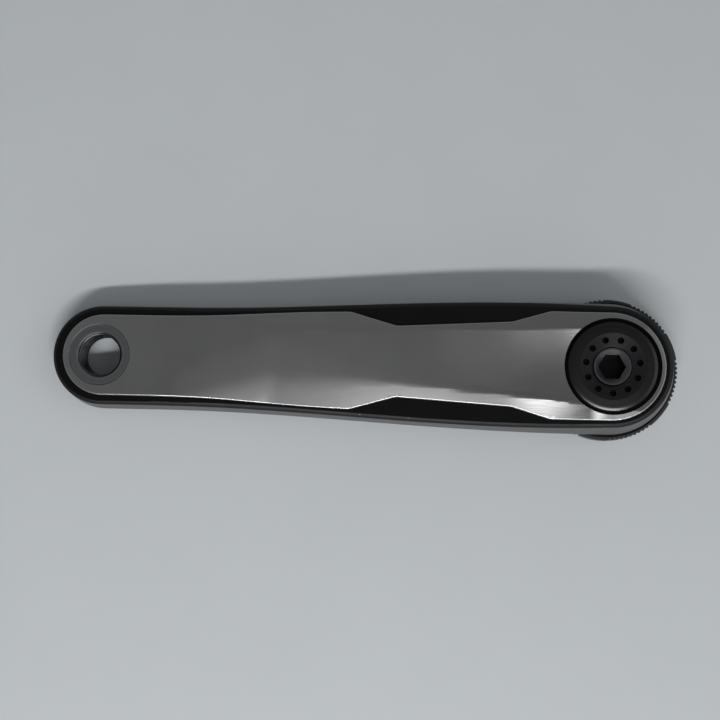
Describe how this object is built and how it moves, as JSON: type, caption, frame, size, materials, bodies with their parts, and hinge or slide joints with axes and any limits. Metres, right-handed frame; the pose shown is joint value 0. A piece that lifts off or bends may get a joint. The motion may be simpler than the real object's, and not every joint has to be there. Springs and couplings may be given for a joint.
{
  "type": "bicycle crank arm",
  "caption": "Left bicycle crank arm with a polished faceted face, splined spindle socket, captive fixing bolt under an extractor cap, knurled preload ring and threaded pedal hole.",
  "frame": {"origin": "on the spindle axis, at the inboard end of the boss, in the mouth of the spindle socket", "axes": "+Z along the spindle axis away from the bicycle, the arm runs towards -X, Y across it"},
  "size_m": [0.2112, 0.0486, 0.0313],
  "materials": {
    "anodised_arm": "polished dark grey anodised face with satin black flanks",
    "washer_steel": "plain zinc-plated steel",
    "bolt_steel": "blackened steel",
    "slip_washer": "dark nylon",
    "black_cap": "satin black anodised",
    "adjuster_nylon": "moulded black glass-filled nylon",
    "screw_steel": "black oxide steel"
  },
  "bodies": {
    "arm": {"crank_arm": "anodised_arm", "bolt_washer": "washer_steel", "cap_washer": "slip_washer", "extractor_cap": "black_cap"},
    "bolt": {"crank_bolt": "bolt_steel"},
    "adjuster": {"preload_adjuster": "adjuster_nylon", "adjuster_screw": "screw_steel"}
  },
  "joints": [
    {"name": "bolt_turn", "type": "hinge", "parent": "arm", "child": "bolt", "pos_m": [0, 0, 0.016], "axis": [0, 0, 1], "continuous": true},
    {"name": "adjuster_turn", "type": "hinge", "parent": "arm", "child": "adjuster", "pos_m": [0, 0, 0.00255], "axis": [0, 0, 1], "range_deg": [-630, 288]}
  ]
}
